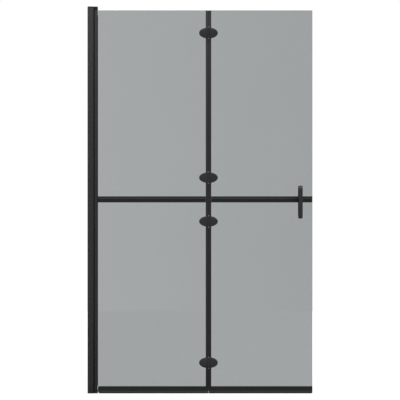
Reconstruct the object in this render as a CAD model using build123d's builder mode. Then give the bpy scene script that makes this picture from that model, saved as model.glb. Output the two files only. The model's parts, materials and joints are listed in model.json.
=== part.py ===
from build123d import *
import os
from math import sqrt

os.makedirs("parts", exist_ok=True)

# Folding shower screen with two leaves, hung on a wall profile.
# Frame: X from the wall to the free edge, Y from the front to the back,
# Z up from the shower tray. The glass lies in the plane y = 0.

# ------------------------------------------------------------------ dimensions
WIDTH = 1105.0
HEIGHT = 1900.0

# wall channel, U section open to +X
CH_HALF = 13.0  # half of its outer width
CH_T = 1.8
CH_DEPTH = 22.0
CH_TOP = 1895.5
WALL_HOLE_R = 3.0
WALL_HOLES_OUTER = (150.0, 1750.0)
WALL_HOLES_INNER = (683.0, 1217.0)

# carrier profile that slides over the channel
CA_HALF = 15.0
CA_T = 1.6
CA_X0 = 1.0
CA_FRONT = 26.5  # end of the flat front face
PORT_X, PORT_Y = 25.6, 10.4  # screw ports
PORT_R, PORT_BORE = 3.1, 1.6
CAP_T = 4.0
FOOT_T = 7.0
ADJ_X = 6.0
ADJ_Z = (150.0, 683.0, 1217.0, 1750.0)

# pivot post
PIVOT_X = 40.5
POST_R = 10.0
POST_Z0, POST_Z1 = 19.6, 1882.0
CRADLE_R = 11.4
BORE_R = 4.2
PIN_R = 3.0
PIN_FIT = 0.05
BOSS_R = 10.0
FLANGE_R = 9.6
SLOT_X = 42.3
SLOT_HALF = 4.5

# glass
GLASS_T = 6.0
G = GLASS_T / 2
GLASS_TOP = 1882.0
GLASS_BOTTOM = 14.0
GLASS_IN_X0 = 43.0
FOLD_X = 594.1
FOLD_GAP = 12.0  # between the two glass edges
GLASS_IN_X1 = FOLD_X - FOLD_GAP / 2
GLASS_OUT_X0 = FOLD_X + FOLD_GAP / 2
UPPER_Z0 = 954.7
LOWER_Z1 = 950.7
ARRIS = 0.7

# rails
GASKET_T = 1.2
POCKET = G + GASKET_T  # half of the glass pocket
MID_Z0, MID_Z1 = 937.7, 967.6
MID_WEB0, MID_WEB1 = 951.2, 954.2
MID_FACE = 6.3
BEAD_Z, BEAD_H, BEAD_OUT = 954.3, 5.3, 9.5
RAIL_X0 = 51.0
RAIL_TOP = 33.8
NOSE = 10.2
STRIP_HALF = 13.6
STRIP_OUT = 6.3
LEAF_GAP = 0.3  # each leaf ends this far from the fold plane
MID_CAP_W = 5.0
LOW_CAP_W = 2.0

# hinges
HINGE_Z = (1770.7, 1059.5, 844.5, 149.8)
AXIS_Y = -12.5
BARREL_R = 4.5
BARREL_H = 27.5
MID_KNUCKLE = 13.4
OUTER_KNUCKLE = 14.4
HPIN_R = 2.5
OVAL_A, OVAL_B = 46.0, 26.3
RIM_Y, DOME_H = 7.6, 4.0
BACK_Y = 9.2
SCREW_DX, SCREW_DZ = 27.0, 10.0
SCREW_R = 2.5
GLASS_HOLE_R = 5.0
RELIEF_R = 4.85

# handles
HANDLE_X = 1045.9
HANDLE_Z = 939.3
HANDLE_W = 19.3
HANDLE_HALF = 80.4
HANDLE_OUT = 39.0
HANDLE_BAR = 8.0
HANDLE_FOOT = 12.0
HOLE_DZ = 74.4
STUD_R = 3.0
HANDLE_HOLE_R = 6.0
WASHER_T = 1.4


# ------------------------------------------------------------------ wall side
# U channel that is screwed to the wall through four holes in its web
with BuildPart() as wall_channel:
    with BuildSketch(Plane.XY):
        with Locations((CH_DEPTH / 2, 0)):
            Rectangle(CH_DEPTH, 2 * CH_HALF)
        with Locations((CH_T + CH_DEPTH / 2, 0)):
            Rectangle(CH_DEPTH, 2 * (CH_HALF - CH_T), mode=Mode.SUBTRACT)
    extrude(amount=CH_TOP)
    with BuildSketch(Plane.YZ.offset(-1)):
        with Locations(*[(0, z) for z in WALL_HOLES_OUTER + WALL_HOLES_INNER]):
            Circle(WALL_HOLE_R)
    extrude(amount=CH_T + 2, mode=Mode.SUBTRACT)
wall_channel.part.label = "wall_channel"
export_step(wall_channel.part, "parts/wall_channel.step")

# Carrier profile: flat sides over the channel, two slanted wings, a hollow
# cradle round the post and two screw ports for the caps
with BuildPart() as carrier_profile:
    with BuildSketch(Plane.XY.offset(FOOT_T)):
        with BuildLine():
            Polyline(
                (CA_X0, -CA_HALF + CA_T), (CA_X0, -CA_HALF), (CA_FRONT, -CA_HALF),
                (31.5, -9.5), (32.38, -8.0),
            )
            ThreePointArc((32.38, -8.0), (PIVOT_X - CRADLE_R, 0), (32.38, 8.0))
            Polyline(
                (32.38, 8.0), (31.5, 9.5), (CA_FRONT, CA_HALF), (CA_X0, CA_HALF),
                (CA_X0, CA_HALF - CA_T), (25.79, CA_HALF - CA_T), (30.33, 8.41),
            )
            ThreePointArc((30.33, 8.41), (PIVOT_X - CRADLE_R - 1.8, 0), (30.33, -8.41))
            Polyline(
                (30.33, -8.41), (25.79, -CA_HALF + CA_T), (CA_X0, -CA_HALF + CA_T)
            )
        make_face()
        with Locations((PORT_X, PORT_Y), (PORT_X, -PORT_Y)):
            Circle(PORT_R)
            Circle(PORT_BORE, mode=Mode.SUBTRACT)
    extrude(amount=HEIGHT - CAP_T - FOOT_T)
    corners = (
        carrier_profile.edges()
        .filter_by(Axis.Z)
        .filter_by(lambda e: abs(abs(e.center().Y) - CA_HALF) < 0.01)
    )
    fillet(corners, radius=0.6)
    with BuildSketch(Plane.XZ.offset(-12.5)):
        with Locations(*[(ADJ_X, z) for z in ADJ_Z]):
            Circle(2.02)
    extrude(amount=-4, mode=Mode.SUBTRACT)
carrier_profile.part.label = "carrier_profile"
export_step(carrier_profile.part, "parts/carrier_profile.step")

# Top cap over profile and post, with the boss of the upper pivot
with BuildPart() as top_cap:
    with BuildSketch(Plane.XY.offset(HEIGHT - CAP_T)):
        with BuildLine():
            Polyline(
                (PIVOT_X, -10.2), (32.5, -10.2), (CA_FRONT + 0.3, -CA_HALF),
                (0.5, -CA_HALF), (0.5, CA_HALF), (CA_FRONT + 0.3, CA_HALF),
                (32.5, 10.2), (PIVOT_X, 10.2),
            )
            ThreePointArc((PIVOT_X, 10.2), (PIVOT_X + 10.2, 0), (PIVOT_X, -10.2))
        make_face()
    extrude(amount=CAP_T)
    fillet(top_cap.faces().sort_by(Axis.Z)[-1].edges(), radius=0.3)
    with Locations((PIVOT_X, 0, HEIGHT - CAP_T)):
        Cylinder(BOSS_R, 12.0, align=(Align.CENTER, Align.CENTER, Align.MAX))
    with Locations((PIVOT_X, 0, HEIGHT - 2)):
        Cylinder(
            PIN_R, 20.0, align=(Align.CENTER, Align.CENTER, Align.MAX),
            mode=Mode.SUBTRACT,
        )
    with Locations((PORT_X, PORT_Y, HEIGHT), (PORT_X, -PORT_Y, HEIGHT)):
        CounterSinkHole(radius=PORT_BORE, counter_sink_radius=3.3, depth=CAP_T)
top_cap.part.label = "top_cap"
export_step(top_cap.part, "parts/top_cap.step")

# Bottom bearing: a foot with two arms round the channel and the lower pivot boss
with BuildPart() as bottom_bearing:
    with BuildSketch(Plane.XY):
        with BuildLine():
            Polyline(
                (PIVOT_X, -10.2), (32.5, -10.2), (CA_FRONT + 0.3, -CA_HALF),
                (CA_X0, -CA_HALF), (CA_X0, CA_HALF), (CA_FRONT + 0.3, CA_HALF),
                (32.5, 10.2), (PIVOT_X, 10.2),
            )
            ThreePointArc((PIVOT_X, 10.2), (PIVOT_X + 10.2, 0), (PIVOT_X, -10.2))
        make_face()
        with Locations((CH_DEPTH / 2, 0)):
            Rectangle(CH_DEPTH + 1.0, 2 * (CA_HALF - CA_T), mode=Mode.SUBTRACT)
    extrude(amount=FOOT_T)
    with Locations((PIVOT_X, 0, FOOT_T)):
        Cylinder(BOSS_R, 9.5, align=(Align.CENTER, Align.CENTER, Align.MIN))
    with Locations((PIVOT_X, 0, 1.2)):
        Cylinder(
            PIN_R, 20.0, align=(Align.CENTER, Align.CENTER, Align.MIN),
            mode=Mode.SUBTRACT,
        )
    with BuildSketch(Plane.XY):
        with Locations((PORT_X, PORT_Y), (PORT_X, -PORT_Y)):
            Circle(PORT_BORE)
    extrude(amount=FOOT_T, mode=Mode.SUBTRACT)
    with Locations((PORT_X, PORT_Y, 0), (PORT_X, -PORT_Y, 0)):
        Cone(
            3.3, PORT_BORE, 1.7, align=(Align.CENTER, Align.CENTER, Align.MIN),
            mode=Mode.SUBTRACT,
        )
bottom_bearing.part.label = "bottom_bearing"
export_step(bottom_bearing.part, "parts/bottom_bearing.step")

# Steel pivot pins, pressed into the caps
with BuildPart() as pivot_pin_top:
    with Locations((PIVOT_X, 0, 1866.5)):
        Cylinder(PIN_R, 31.5, align=(Align.CENTER, Align.CENTER, Align.MIN))
    chamfer(pivot_pin_top.edges().filter_by(GeomType.CIRCLE), length=0.5)
pivot_pin_top.part.label = "pivot_pin_top"
export_step(pivot_pin_top.part, "parts/pivot_pin_top.step")

with BuildPart() as pivot_pin_bottom:
    with Locations((PIVOT_X, 0, 1.2)):
        Cylinder(PIN_R, 33.3, align=(Align.CENTER, Align.CENTER, Align.MIN))
    chamfer(pivot_pin_bottom.edges().filter_by(GeomType.CIRCLE), length=0.5)
pivot_pin_bottom.part.label = "pivot_pin_bottom"
export_step(pivot_pin_bottom.part, "parts/pivot_pin_bottom.step")

# Nylon thrust washer that carries the weight of the leaves
with BuildPart() as thrust_washer:
    with Locations((PIVOT_X, 0, 16.5)):
        Cylinder(9.2, 1.5, align=(Align.CENTER, Align.CENTER, Align.MIN))
        Cylinder(
            PIN_R + 0.1, 1.5, align=(Align.CENTER, Align.CENTER, Align.MIN),
            mode=Mode.SUBTRACT,
        )
thrust_washer.part.label = "thrust_washer"
export_step(thrust_washer.part, "parts/thrust_washer.step")

# Countersunk cap screws, two from above and two from below
with BuildPart() as cap_screws:
    with Locations((PORT_X, PORT_Y, HEIGHT), (PORT_X, -PORT_Y, HEIGHT)):
        Cylinder(
            PORT_BORE - 0.05, 22.0, align=(Align.CENTER, Align.CENTER, Align.MAX)
        )
        Cone(
            PORT_BORE - 0.05, 3.2, 1.65, align=(Align.CENTER, Align.CENTER, Align.MAX)
        )
    with Locations((PORT_X, PORT_Y, 0), (PORT_X, -PORT_Y, 0)):
        Cylinder(
            PORT_BORE - 0.05, 22.0, align=(Align.CENTER, Align.CENTER, Align.MIN)
        )
        Cone(
            3.2, PORT_BORE - 0.05, 1.65, align=(Align.CENTER, Align.CENTER, Align.MIN)
        )
    with BuildSketch(Plane.XY.offset(HEIGHT)):
        with Locations((PORT_X, PORT_Y), (PORT_X, -PORT_Y)):
            RegularPolygon(1.15, 6)
    extrude(amount=-1.3, mode=Mode.SUBTRACT)
    with BuildSketch(Plane.XY):
        with Locations((PORT_X, PORT_Y), (PORT_X, -PORT_Y)):
            RegularPolygon(1.15, 6)
    extrude(amount=1.3, mode=Mode.SUBTRACT)
cap_screws.part.label = "cap_screws"
export_step(cap_screws.part, "parts/cap_screws.step")

# Button-head clamp screws on the back face of the carrier
adj_planes = [
    Plane(origin=(ADJ_X, CA_HALF, z), x_dir=(1, 0, 0), z_dir=(0, 1, 0)) for z in ADJ_Z
]
with BuildPart() as adjusting_screws:
    with Locations(*adj_planes):
        Cylinder(3.8, 2.3, align=(Align.CENTER, Align.CENTER, Align.MIN))
        Cylinder(2.0, CA_T + 0.05, align=(Align.CENTER, Align.CENTER, Align.MAX))
    heads = (
        adjusting_screws.edges()
        .filter_by(GeomType.CIRCLE)
        .filter_by(lambda e: abs(e.center().Y - CA_HALF - 2.3) < 0.01)
    )
    fillet(heads, radius=1.5)
    with BuildSketch(*[p.offset(2.3) for p in adj_planes]):
        RegularPolygon(1.45, 6)
    extrude(amount=-1.4, mode=Mode.SUBTRACT)
adjusting_screws.part.label = "adjusting_screws"
export_step(adjusting_screws.part, "parts/adjusting_screws.step")

# ------------------------------------------------------------------ inner leaf
# Round pivot post: a bore for the bushes and a slot for glass and gasket
with BuildPart() as pivot_profile:
    with BuildSketch(Plane.XY.offset(POST_Z0)):
        with Locations((PIVOT_X, 0)):
            Circle(POST_R)
            Circle(BORE_R, mode=Mode.SUBTRACT)
        with Locations((SLOT_X + 5, 0)):
            Rectangle(10.0, 2 * SLOT_HALF, mode=Mode.SUBTRACT)
    extrude(amount=POST_Z1 - POST_Z0)
pivot_profile.part.label = "pivot_profile"
export_step(pivot_profile.part, "parts/pivot_profile.step")

with BuildPart() as pivot_bush_top:
    with Locations((PIVOT_X, 0, POST_Z1)):
        Cylinder(FLANGE_R, 1.5, align=(Align.CENTER, Align.CENTER, Align.MIN))
        Cylinder(BORE_R, 18.0, align=(Align.CENTER, Align.CENTER, Align.MAX))
    with Locations((PIVOT_X, 0, POST_Z1)):
        Cylinder(PIN_R + PIN_FIT, 60.0, mode=Mode.SUBTRACT)
pivot_bush_top.part.label = "pivot_bush_top"
export_step(pivot_bush_top.part, "parts/pivot_bush_top.step")

with BuildPart() as pivot_bush_bottom:
    with Locations((PIVOT_X, 0, POST_Z0)):
        Cylinder(FLANGE_R, 1.5, align=(Align.CENTER, Align.CENTER, Align.MAX))
        Cylinder(BORE_R, 17.4, align=(Align.CENTER, Align.CENTER, Align.MIN))
    with Locations((PIVOT_X, 0, POST_Z0)):
        Cylinder(PIN_R + PIN_FIT, 60.0, mode=Mode.SUBTRACT)
pivot_bush_bottom.part.label = "pivot_bush_bottom"
export_step(pivot_bush_bottom.part, "parts/pivot_bush_bottom.step")

# U gasket round the glass edge in the post's slot
with BuildPart() as post_gasket:
    with BuildSketch(Plane.XY.offset(38.5)):
        with Locations(((42.5 + 50.8) / 2, 0)):
            Rectangle(50.8 - 42.5, 2 * SLOT_HALF)
        with Locations((GLASS_IN_X0 + 10, 0)):
            Rectangle(20.0, 2 * G, mode=Mode.SUBTRACT)
    extrude(amount=1857.5 - 38.5)
post_gasket.part.label = "post_gasket"
export_step(post_gasket.part, "parts/post_gasket.step")


def hinge_holes(side, z_low, z_high):
    """Hole centres of the hinges on one leaf (-1 inner, +1 outer) in a z range."""
    return [
        (FOLD_X + side * SCREW_DX, z + dz)
        for z in HINGE_Z
        if z_low < z < z_high
        for dz in (-SCREW_DZ, SCREW_DZ)
    ]


# Glass panes, 6 mm, with ground edges. The inner panes have a hidden corner
# notch beside the pivot bushes.
with BuildPart() as glass_inner_upper:
    with BuildSketch(Plane.XZ):
        with BuildLine():
            Polyline(
                (GLASS_IN_X0, UPPER_Z0), (GLASS_IN_X1, UPPER_Z0),
                (GLASS_IN_X1, GLASS_TOP), (46.3, GLASS_TOP), (46.3, 1858.0),
                (GLASS_IN_X0, 1858.0), close=True,
            )
        make_face()
    extrude(amount=G, both=True)
    chamfer(
        glass_inner_upper.faces().filter_by(Axis.Y).edges(), length=ARRIS
    )
    with BuildSketch(Plane.XZ):
        with Locations(*hinge_holes(-1, UPPER_Z0, GLASS_TOP)):
            Circle(GLASS_HOLE_R)
    extrude(amount=G, both=True, mode=Mode.SUBTRACT)
glass_inner_upper.part.label = "glass_inner_upper"
export_step(glass_inner_upper.part, "parts/glass_inner_upper.step")

with BuildPart() as glass_inner_lower:
    with BuildSketch(Plane.XZ):
        with BuildLine():
            Polyline(
                (51.2, GLASS_BOTTOM), (GLASS_IN_X1, GLASS_BOTTOM),
                (GLASS_IN_X1, LOWER_Z1), (GLASS_IN_X0, LOWER_Z1),
                (GLASS_IN_X0, 38.0), (46.5, 38.0), (46.5, 34.4), (51.2, 34.4),
                close=True,
            )
        make_face()
    extrude(amount=G, both=True)
    chamfer(
        glass_inner_lower.faces().filter_by(Axis.Y).edges(), length=ARRIS
    )
    with BuildSketch(Plane.XZ):
        with Locations(*hinge_holes(-1, GLASS_BOTTOM, LOWER_Z1)):
            Circle(GLASS_HOLE_R)
    extrude(amount=G, both=True, mode=Mode.SUBTRACT)
glass_inner_lower.part.label = "glass_inner_lower"
export_step(glass_inner_lower.part, "parts/glass_inner_lower.step")

with BuildPart() as glass_outer_upper:
    with BuildSketch(Plane.XZ):
        with Locations(((GLASS_OUT_X0 + WIDTH) / 2, (UPPER_Z0 + GLASS_TOP) / 2)):
            Rectangle(WIDTH - GLASS_OUT_X0, GLASS_TOP - UPPER_Z0)
    extrude(amount=G, both=True)
    chamfer(
        glass_outer_upper.faces().filter_by(Axis.Y).edges(), length=ARRIS
    )
    with BuildSketch(Plane.XZ):
        with Locations(*hinge_holes(1, UPPER_Z0, GLASS_TOP)):
            Circle(GLASS_HOLE_R)
        with Locations((HANDLE_X, HANDLE_Z + HOLE_DZ)):
            Circle(HANDLE_HOLE_R)
    extrude(amount=G, both=True, mode=Mode.SUBTRACT)
glass_outer_upper.part.label = "glass_outer_upper"
export_step(glass_outer_upper.part, "parts/glass_outer_upper.step")

with BuildPart() as glass_outer_lower:
    with BuildSketch(Plane.XZ):
        with Locations(((GLASS_OUT_X0 + WIDTH) / 2, (GLASS_BOTTOM + LOWER_Z1) / 2)):
            Rectangle(WIDTH - GLASS_OUT_X0, LOWER_Z1 - GLASS_BOTTOM)
    extrude(amount=G, both=True)
    chamfer(
        glass_outer_lower.faces().filter_by(Axis.Y).edges(), length=ARRIS
    )
    with BuildSketch(Plane.XZ):
        with Locations(*hinge_holes(1, GLASS_BOTTOM, LOWER_Z1)):
            Circle(GLASS_HOLE_R)
        with Locations((HANDLE_X, HANDLE_Z - HOLE_DZ)):
            Circle(HANDLE_HOLE_R)
    extrude(amount=G, both=True, mode=Mode.SUBTRACT)
glass_outer_lower.part.label = "glass_outer_lower"
export_step(glass_outer_lower.part, "parts/glass_outer_lower.step")


def mid_rail_section(x, pocket):
    """H section of the middle rail at x: two faces that lean back a little, a round
    bead on each, and the web between the panes."""
    with BuildSketch(Plane.YZ.offset(x)) as section:
        with BuildLine():
            for s in (1, -1):
                Polyline(
                    (0, MID_WEB1), (s * pocket, MID_WEB1), (s * pocket, MID_Z1 - 0.4),
                    (s * (pocket + 0.4), MID_Z1), (s * 5.5, MID_Z1),
                    (s * 5.8, MID_Z1 - 0.3), (s * MID_FACE, BEAD_Z + BEAD_H),
                )
                ThreePointArc(
                    (s * MID_FACE, BEAD_Z + BEAD_H), (s * BEAD_OUT, BEAD_Z),
                    (s * MID_FACE, BEAD_Z - BEAD_H),
                )
                Polyline(
                    (s * MID_FACE, BEAD_Z - BEAD_H), (s * 5.8, MID_Z0 + 0.3),
                    (s * 5.5, MID_Z0), (s * (pocket + 0.4), MID_Z0),
                    (s * pocket, MID_Z0 + 0.4), (s * pocket, MID_WEB0), (0, MID_WEB0),
                )
        make_face()
    return section.sketch


def end_wedge(z, inner):
    """Plan triangles at height z that taper a rail's end towards the post: from
    half-width inner at the end to the full width further on."""
    with BuildSketch(Plane.XY.offset(z)) as wedge:
        for s in (1, -1):
            with BuildLine():
                Polyline(
                    (RAIL_X0 - 0.5, s * inner), (RAIL_X0, s * inner),
                    (RAIL_X0 + 11 - inner, s * 11), (RAIL_X0 - 0.5, s * 11),
                    close=True,
                )
            make_face()
    return wedge.sketch


section = mid_rail_section(RAIL_X0, POCKET)
wedge = end_wedge(MID_Z0, MID_FACE + 0.05)
with BuildPart() as mid_rail_inner:
    extrude(section, amount=FOLD_X - STRIP_HALF - 0.3 - RAIL_X0)
    extrude(wedge, amount=MID_Z1 - MID_Z0, mode=Mode.SUBTRACT)
mid_rail_inner.part.label = "mid_rail_inner"
export_step(mid_rail_inner.part, "parts/mid_rail_inner.step")

section = mid_rail_section(FOLD_X + STRIP_HALF + 0.3, POCKET)
with BuildPart() as mid_rail_outer:
    extrude(section, amount=WIDTH - MID_CAP_W - FOLD_X - STRIP_HALF - 0.3)
mid_rail_outer.part.label = "mid_rail_outer"
export_step(mid_rail_outer.part, "parts/mid_rail_outer.step")

# Plastic end cap that closes the outer middle rail round the glass
section = mid_rail_section(WIDTH - MID_CAP_W, G + 0.1)
with BuildPart() as mid_rail_end_cap:
    extrude(section, amount=MID_CAP_W)
mid_rail_end_cap.part.label = "mid_rail_end_cap"
export_step(mid_rail_end_cap.part, "parts/mid_rail_end_cap.step")

# Thin glazing strips on both sides of each pane in the middle rail
STRIP_Y = G + GASKET_T / 2
with BuildPart() as mid_gasket_inner:
    with BuildSketch(Plane.YZ.offset(RAIL_X0 + 0.5)):
        with Locations(*[(s * STRIP_Y, 961.1) for s in (1, -1)]):
            Rectangle(GASKET_T, 12.0)
        with Locations(*[(s * STRIP_Y, 944.4) for s in (1, -1)]):
            Rectangle(GASKET_T, 12.0)
    extrude(amount=FOLD_X - STRIP_HALF - 0.6 - RAIL_X0 - 0.5)
mid_gasket_inner.part.label = "mid_gasket_inner"
export_step(mid_gasket_inner.part, "parts/mid_gasket_inner.step")

with BuildPart() as mid_gasket_outer:
    with BuildSketch(Plane.YZ.offset(FOLD_X + STRIP_HALF + 0.6)):
        with Locations(*[(s * STRIP_Y, 961.1) for s in (1, -1)]):
            Rectangle(GASKET_T, 12.0)
        with Locations(*[(s * STRIP_Y, 944.4) for s in (1, -1)]):
            Rectangle(GASKET_T, 12.0)
    extrude(amount=WIDTH - MID_CAP_W - 0.2 - FOLD_X - STRIP_HALF - 0.6)
mid_gasket_outer.part.label = "mid_gasket_outer"
export_step(mid_gasket_outer.part, "parts/mid_gasket_outer.step")


def bottom_rail_section(x, pocket, floor, seal_slot):
    """Bottom rail at x: an upright pocket for the glass and a cove on each side
    that curves out to a drip nose, with a T slot for the seal underneath."""
    with BuildSketch(Plane.YZ.offset(x)) as section:
        with BuildLine():
            for s in (1, -1):
                Polyline(
                    (0, floor), (s * pocket, floor), (s * pocket, RAIL_TOP - 0.5),
                    (s * (pocket + 0.5), RAIL_TOP), (s * 5.9, RAIL_TOP),
                    (s * 6.3, RAIL_TOP - 0.5),
                )
                Spline(
                    (s * 6.3, RAIL_TOP - 0.5), (s * 6.55, 19.5), (s * 7.4, 11.6),
                    (s * NOSE, 6.6),
                    tangents=[(0, -1), (s * 0.80, -0.60)],
                )
                Polyline(
                    (s * NOSE, 6.6), (s * (NOSE + 0.3), 6.0), (s * (NOSE + 0.3), 4.1),
                    (s * (NOSE - 0.8), 4.1), (s * (NOSE - 0.8), 5.5),
                    (s * (NOSE - 2.2), 8.0), (0, 8.0),
                )
        make_face()
        if seal_slot:
            with Locations((0, 8.5)):
                Rectangle(4.0, 2.0, mode=Mode.SUBTRACT)
            with Locations((0, 10.0)):
                Rectangle(6.8, 1.8, mode=Mode.SUBTRACT)
    return section.sketch


section = bottom_rail_section(RAIL_X0, POCKET, 12.4, True)
wedge = end_wedge(3.5, 6.7)
with BuildPart() as bottom_rail_inner:
    extrude(section, amount=FOLD_X - LEAF_GAP - RAIL_X0)
    extrude(wedge, amount=RAIL_TOP, mode=Mode.SUBTRACT)
bottom_rail_inner.part.label = "bottom_rail_inner"
export_step(bottom_rail_inner.part, "parts/bottom_rail_inner.step")

section = bottom_rail_section(FOLD_X + LEAF_GAP, POCKET, 12.4, True)
with BuildPart() as bottom_rail_outer:
    extrude(section, amount=WIDTH - LOW_CAP_W - FOLD_X - LEAF_GAP)
bottom_rail_outer.part.label = "bottom_rail_outer"
export_step(bottom_rail_outer.part, "parts/bottom_rail_outer.step")

section = bottom_rail_section(WIDTH - LOW_CAP_W, G + 0.1, GLASS_BOTTOM - 0.1, False)
with BuildPart() as bottom_rail_end_cap:
    extrude(section, amount=LOW_CAP_W)
bottom_rail_end_cap.part.label = "bottom_rail_end_cap"
export_step(bottom_rail_end_cap.part, "parts/bottom_rail_end_cap.step")

# U-shaped glazing gaskets in the bottom rails
with BuildPart() as bottom_gasket_inner:
    with BuildSketch(Plane.YZ.offset(RAIL_X0 + 0.5)):
        with Locations((0, (12.4 + 32.0) / 2)):
            Rectangle(2 * POCKET, 32.0 - 12.4)
        with Locations((0, GLASS_BOTTOM + 20)):
            Rectangle(2 * G, 40.0, mode=Mode.SUBTRACT)
    extrude(amount=GLASS_IN_X1 - RAIL_X0 - 0.5)
bottom_gasket_inner.part.label = "bottom_gasket_inner"
export_step(bottom_gasket_inner.part, "parts/bottom_gasket_inner.step")

with BuildPart() as bottom_gasket_outer:
    with BuildSketch(Plane.YZ.offset(GLASS_OUT_X0)):
        with Locations((0, (12.4 + 32.0) / 2)):
            Rectangle(2 * POCKET, 32.0 - 12.4)
        with Locations((0, GLASS_BOTTOM + 20)):
            Rectangle(2 * G, 40.0, mode=Mode.SUBTRACT)
    extrude(amount=WIDTH - LOW_CAP_W - 0.2 - GLASS_OUT_X0)
bottom_gasket_outer.part.label = "bottom_gasket_outer"
export_step(bottom_gasket_outer.part, "parts/bottom_gasket_outer.step")


def seal_section(x):
    """Soft seal at x: a T head in the rail's slot, a flange under the rail, two
    outer lips that hide behind the drip noses and three inner ones."""
    with BuildSketch(Plane.YZ.offset(x)) as section:
        with BuildLine():
            Polyline(
                (-3.2, 10.7), (-3.2, 9.3), (-1.8, 9.3), (-1.8, 8.0), (-7.7, 8.0),
                (-7.7, 6.6), (-10.2, 0.1), (-9.3, 0.1), (-6.8, 6.3), (-5.2, 6.3),
                (-4.9, 0.8), (-4.3, 0.8), (-4.0, 6.3), (-1.2, 6.3), (-0.5, 0.3),
                (0.5, 0.3), (1.2, 6.3), (4.0, 6.3), (4.3, 0.8), (4.9, 0.8),
                (5.2, 6.3), (6.8, 6.3), (9.3, 0.1), (10.2, 0.1), (7.7, 6.6),
                (7.7, 8.0), (1.8, 8.0), (1.8, 9.3), (3.2, 9.3), (3.2, 10.7),
                close=True,
            )
        make_face()
    return section.sketch


section = seal_section(RAIL_X0 + 3.5)
with BuildPart() as bottom_seal_inner:
    extrude(section, amount=FOLD_X - LEAF_GAP - 0.2 - RAIL_X0 - 3.5)
bottom_seal_inner.part.label = "bottom_seal_inner"
export_step(bottom_seal_inner.part, "parts/bottom_seal_inner.step")

section = seal_section(FOLD_X + LEAF_GAP + 0.2)
with BuildPart() as bottom_seal_outer:
    extrude(section, amount=WIDTH - LOW_CAP_W - 0.2 - FOLD_X - LEAF_GAP - 0.2)
bottom_seal_outer.part.label = "bottom_seal_outer"
export_step(bottom_seal_outer.part, "parts/bottom_seal_outer.step")


# Plug in the outer bottom rail's pocket at the fold; its tongue reaches across
# the fold plane into the inner rail's pocket
with BuildPart() as bottom_rail_fold_plug:
    with BuildSketch(Plane.XY.offset(12.7)):
        with Locations((FOLD_X + 3.05, 0)):
            Rectangle(5.5, 8.0)
        with Locations((FOLD_X - 0.7, 0)):
            Rectangle(2.2, 7.0)
    extrude(amount=RAIL_TOP - 0.2 - 12.7)
bottom_rail_fold_plug.part.label = "bottom_rail_fold_plug"
export_step(bottom_rail_fold_plug.part, "parts/bottom_rail_fold_plug.step")


def fold_seal_section(side):
    """Half of the strip over the fold: a clip round the glass edge that swells
    to the fold plane, with a hollow chamber. The outer half has a tongue at the
    fold plane and the inner half a slot for it."""
    edge = FOLD_X + side * FOLD_GAP / 2
    swell = STRIP_OUT - G - 0.7
    steps = (STRIP_HALF, 12.0, 10.6, 9.2, 7.8, 6.4, 5.0, 3.6, 2.0, LEAF_GAP)
    crown = [
        (FOLD_X + side * d, STRIP_OUT - swell * (d / STRIP_HALF) ** 2.2) for d in steps
    ]
    with BuildSketch(Plane.XY.offset(RAIL_TOP + 0.2)) as section:
        with BuildLine():
            Polyline(
                (edge, -G), (FOLD_X + side * STRIP_HALF, -G),
                *[(x, -y) for x, y in crown], *reversed(crown),
                (FOLD_X + side * STRIP_HALF, G), (edge, G), close=True,
            )
        make_face()
        with Locations((FOLD_X + side * 3.15, 0)):
            Rectangle(3.3, 9.0, mode=Mode.SUBTRACT)
        if side > 0:
            with Locations((FOLD_X - 0.9, 0)):
                Rectangle(2.6, 1.2)
        else:
            with Locations((FOLD_X - 1.0, 0.2)):
                Rectangle(1.6, 2.8, mode=Mode.SUBTRACT)
    return section.sketch


section = fold_seal_section(-1)
with BuildPart() as fold_seal_inner:
    extrude(section, amount=1881.0 - RAIL_TOP - 0.2)
fold_seal_inner.part.label = "fold_seal_inner"
export_step(fold_seal_inner.part, "parts/fold_seal_inner.step")

section = fold_seal_section(1)
with BuildPart() as fold_seal_outer:
    extrude(section, amount=1881.0 - RAIL_TOP - 0.2)
fold_seal_outer.part.label = "fold_seal_outer"
export_step(fold_seal_outer.part, "parts/fold_seal_outer.step")

# ------------------------------------------------------------------ hinges
# The domed face of the oval is part of a large ellipsoid of revolution about X
DOME_B = (OVAL_B**2 / DOME_H + DOME_H) / 2
DOME_A = DOME_B * OVAL_A / OVAL_B
DOME_Y = DOME_B - DOME_H - RIM_Y  # centre of the ellipsoid, behind the glass


def screw_spots(side, z):
    return [(FOLD_X + side * SCREW_DX, z - SCREW_DZ), (FOLD_X + side * SCREW_DX, z + SCREW_DZ)]


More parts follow.
